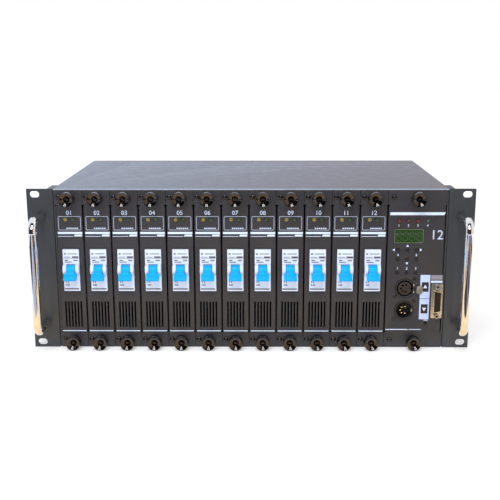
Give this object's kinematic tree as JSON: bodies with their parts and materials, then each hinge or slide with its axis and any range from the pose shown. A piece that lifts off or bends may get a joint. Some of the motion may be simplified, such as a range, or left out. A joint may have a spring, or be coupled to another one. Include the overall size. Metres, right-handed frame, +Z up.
{
  "type": "dmx switch pack",
  "caption": "Rack-mounting stage lighting switch pack with plug-in relay modules, a circuit breaker on each, bow handles and a wider control module.",
  "frame": {"origin": "on the base plane, under the middle of the whole unit, handles included", "axes": "+X to the right along the front, +Y to the back, +Z up; the front faces -Y"},
  "size_m": [0.4826, 0.3238, 0.177],
  "materials": {
    "chassis_paint": "fine-textured dark grey powder coat",
    "cover_paint": "satin dark grey powder coat",
    "board_green": "green circuit board laminate",
    "ear_paint": "satin slate-grey powder coat",
    "chrome": "bright chrome plate",
    "panel_paint": "fine-textured charcoal powder coat",
    "breaker_white": "smooth moulded white, faintly bluish",
    "lever_blue": "smooth moulded bright blue",
    "window_green": "smooth tinted dark green window",
    "shell_black": "black-plated die casting",
    "port_metal": "yellow-passivated metal",
    "tab_metal": "dull nickel-plated brass",
    "black_plastic": "moulded black"
  },
  "bodies": {
    "chassis": {"chassis_tray": "chassis_paint", "top_cover": "cover_paint", "rear_panel": "chassis_paint", "backplane": "board_green", "rack_ear_left": "ear_paint", "rack_ear_right": "ear_paint", "handle_left": "chrome", "handle_right": "chrome"},
    "module_01": {"relay_module_01": "panel_paint", "breaker_01": "breaker_white"},
    "lever_01": {"lever_01": "lever_blue"},
    "module_02": {"relay_module_02": "panel_paint", "breaker_02": "breaker_white"},
    "lever_02": {"lever_02": "lever_blue"},
    "module_03": {"relay_module_03": "panel_paint", "breaker_03": "breaker_white"},
    "lever_03": {"lever_03": "lever_blue"},
    "module_04": {"relay_module_04": "panel_paint", "breaker_04": "breaker_white"},
    "lever_04": {"lever_04": "lever_blue"},
    "module_05": {"relay_module_05": "panel_paint", "breaker_05": "breaker_white"},
    "lever_05": {"lever_05": "lever_blue"},
    "module_06": {"relay_module_06": "panel_paint", "breaker_06": "breaker_white"},
    "lever_06": {"lever_06": "lever_blue"},
    "module_07": {"relay_module_07": "panel_paint", "breaker_07": "breaker_white"},
    "lever_07": {"lever_07": "lever_blue"},
    "module_08": {"relay_module_08": "panel_paint", "breaker_08": "breaker_white"},
    "lever_08": {"lever_08": "lever_blue"},
    "module_09": {"relay_module_09": "panel_paint", "breaker_09": "breaker_white"},
    "lever_09": {"lever_09": "lever_blue"},
    "module_10": {"relay_module_10": "panel_paint", "breaker_10": "breaker_white"},
    "lever_10": {"lever_10": "lever_blue"},
    "module_11": {"relay_module_11": "panel_paint", "breaker_11": "breaker_white"},
    "lever_11": {"lever_11": "lever_blue"},
    "module_12": {"relay_module_12": "panel_paint", "breaker_12": "breaker_white"},
    "lever_12": {"lever_12": "lever_blue"},
    "control_module": {"control_panel": "panel_paint", "display_window": "window_green", "xlr_out": "shell_black", "xlr_in": "shell_black", "data_port": "port_metal"},
    "latch": {"xlr_latch": "tab_metal"},
    "termination": {"termination_switch": "black_plastic"},
    "button_left": {"button_left": "black_plastic"},
    "button_up": {"button_up": "black_plastic"},
    "button_right": {"button_right": "black_plastic"},
    "button_cancel": {"button_cancel": "black_plastic"},
    "button_down": {"button_down": "black_plastic"},
    "button_select": {"button_select": "black_plastic"},
    "button_set": {"button_set": "black_plastic"},
    "button_function": {"button_function": "black_plastic"},
    "button_mode": {"button_mode": "black_plastic"}
  },
  "joints": [
    {"name": "module_slide_01", "type": "slide", "parent": "chassis", "child": "module_01", "axis": [0, -1, 0], "range_m": [0, 0.24]},
    {"name": "lever_hinge_01", "type": "hinge", "parent": "module_01", "child": "lever_01", "pos_m": [-0.19615, -0.1136, 0.0892], "axis": [-1, 0, 0], "range_deg": [0, 80]},
    {"name": "module_slide_02", "type": "slide", "parent": "chassis", "child": "module_02", "axis": [0, -1, 0], "range_m": [0, 0.24]},
    {"name": "lever_hinge_02", "type": "hinge", "parent": "module_02", "child": "lever_02", "pos_m": [-0.16625, -0.1136, 0.0892], "axis": [-1, 0, 0], "range_deg": [0, 80]},
    {"name": "module_slide_03", "type": "slide", "parent": "chassis", "child": "module_03", "axis": [0, -1, 0], "range_m": [0, 0.24]},
    {"name": "lever_hinge_03", "type": "hinge", "parent": "module_03", "child": "lever_03", "pos_m": [-0.13635, -0.1136, 0.0892], "axis": [-1, 0, 0], "range_deg": [0, 80]},
    {"name": "module_slide_04", "type": "slide", "parent": "chassis", "child": "module_04", "axis": [0, -1, 0], "range_m": [0, 0.24]},
    {"name": "lever_hinge_04", "type": "hinge", "parent": "module_04", "child": "lever_04", "pos_m": [-0.10645, -0.1136, 0.0892], "axis": [-1, 0, 0], "range_deg": [0, 80]},
    {"name": "module_slide_05", "type": "slide", "parent": "chassis", "child": "module_05", "axis": [0, -1, 0], "range_m": [0, 0.24]},
    {"name": "lever_hinge_05", "type": "hinge", "parent": "module_05", "child": "lever_05", "pos_m": [-0.07655, -0.1136, 0.0892], "axis": [-1, 0, 0], "range_deg": [0, 80]},
    {"name": "module_slide_06", "type": "slide", "parent": "chassis", "child": "module_06", "axis": [0, -1, 0], "range_m": [0, 0.24]},
    {"name": "lever_hinge_06", "type": "hinge", "parent": "module_06", "child": "lever_06", "pos_m": [-0.04665, -0.1136, 0.0892], "axis": [-1, 0, 0], "range_deg": [0, 80]},
    {"name": "module_slide_07", "type": "slide", "parent": "chassis", "child": "module_07", "axis": [0, -1, 0], "range_m": [0, 0.24]},
    {"name": "lever_hinge_07", "type": "hinge", "parent": "module_07", "child": "lever_07", "pos_m": [-0.01675, -0.1136, 0.0892], "axis": [-1, 0, 0], "range_deg": [0, 80]},
    {"name": "module_slide_08", "type": "slide", "parent": "chassis", "child": "module_08", "axis": [0, -1, 0], "range_m": [0, 0.24]},
    {"name": "lever_hinge_08", "type": "hinge", "parent": "module_08", "child": "lever_08", "pos_m": [0.01315, -0.1136, 0.0892], "axis": [-1, 0, 0], "range_deg": [0, 80]},
    {"name": "module_slide_09", "type": "slide", "parent": "chassis", "child": "module_09", "axis": [0, -1, 0], "range_m": [0, 0.24]},
    {"name": "lever_hinge_09", "type": "hinge", "parent": "module_09", "child": "lever_09", "pos_m": [0.04305, -0.1136, 0.0892], "axis": [-1, 0, 0], "range_deg": [0, 80]},
    {"name": "module_slide_10", "type": "slide", "parent": "chassis", "child": "module_10", "axis": [0, -1, 0], "range_m": [0, 0.24]},
    {"name": "lever_hinge_10", "type": "hinge", "parent": "module_10", "child": "lever_10", "pos_m": [0.07295, -0.1136, 0.0892], "axis": [-1, 0, 0], "range_deg": [0, 80]},
    {"name": "module_slide_11", "type": "slide", "parent": "chassis", "child": "module_11", "axis": [0, -1, 0], "range_m": [0, 0.24]},
    {"name": "lever_hinge_11", "type": "hinge", "parent": "module_11", "child": "lever_11", "pos_m": [0.10285, -0.1136, 0.0892], "axis": [-1, 0, 0], "range_deg": [0, 80]},
    {"name": "module_slide_12", "type": "slide", "parent": "chassis", "child": "module_12", "axis": [0, -1, 0], "range_m": [0, 0.24]},
    {"name": "lever_hinge_12", "type": "hinge", "parent": "module_12", "child": "lever_12", "pos_m": [0.13275, -0.1136, 0.0892], "axis": [-1, 0, 0], "range_deg": [0, 80]},
    {"name": "control_slide", "type": "slide", "parent": "chassis", "child": "control_module", "axis": [0, -1, 0], "range_m": [0, 0.24]},
    {"name": "xlr_latch_press", "type": "slide", "parent": "control_module", "child": "latch", "axis": [0, 1, 0], "range_m": [0, 0.0012], "stiffness_N_per_m": 800, "springref_m": -0.001},
    {"name": "termination_slide", "type": "slide", "parent": "control_module", "child": "termination", "axis": [0, 0, 1], "range_m": [0, 0.002]},
    {"name": "button_left_press", "type": "slide", "parent": "control_module", "child": "button_left", "axis": [0, 1, 0], "range_m": [0, 0.0005], "stiffness_N_per_m": 1500, "springref_m": -0.0005},
    {"name": "button_up_press", "type": "slide", "parent": "control_module", "child": "button_up", "axis": [0, 1, 0], "range_m": [0, 0.0005], "stiffness_N_per_m": 1500, "springref_m": -0.0005},
    {"name": "button_right_press", "type": "slide", "parent": "control_module", "child": "button_right", "axis": [0, 1, 0], "range_m": [0, 0.0005], "stiffness_N_per_m": 1500, "springref_m": -0.0005},
    {"name": "button_cancel_press", "type": "slide", "parent": "control_module", "child": "button_cancel", "axis": [0, 1, 0], "range_m": [0, 0.0005], "stiffness_N_per_m": 1500, "springref_m": -0.0005},
    {"name": "button_down_press", "type": "slide", "parent": "control_module", "child": "button_down", "axis": [0, 1, 0], "range_m": [0, 0.0005], "stiffness_N_per_m": 1500, "springref_m": -0.0005},
    {"name": "button_select_press", "type": "slide", "parent": "control_module", "child": "button_select", "axis": [0, 1, 0], "range_m": [0, 0.0005], "stiffness_N_per_m": 1500, "springref_m": -0.0005},
    {"name": "button_set_press", "type": "slide", "parent": "control_module", "child": "button_set", "axis": [0, 1, 0], "range_m": [0, 0.0005], "stiffness_N_per_m": 1500, "springref_m": -0.0005},
    {"name": "button_function_press", "type": "slide", "parent": "control_module", "child": "button_function", "axis": [0, 1, 0], "range_m": [0, 0.0005], "stiffness_N_per_m": 1500, "springref_m": -0.0005},
    {"name": "button_mode_press", "type": "slide", "parent": "control_module", "child": "button_mode", "axis": [0, 1, 0], "range_m": [0, 0.0005], "stiffness_N_per_m": 1500, "springref_m": -0.0005}
  ]
}
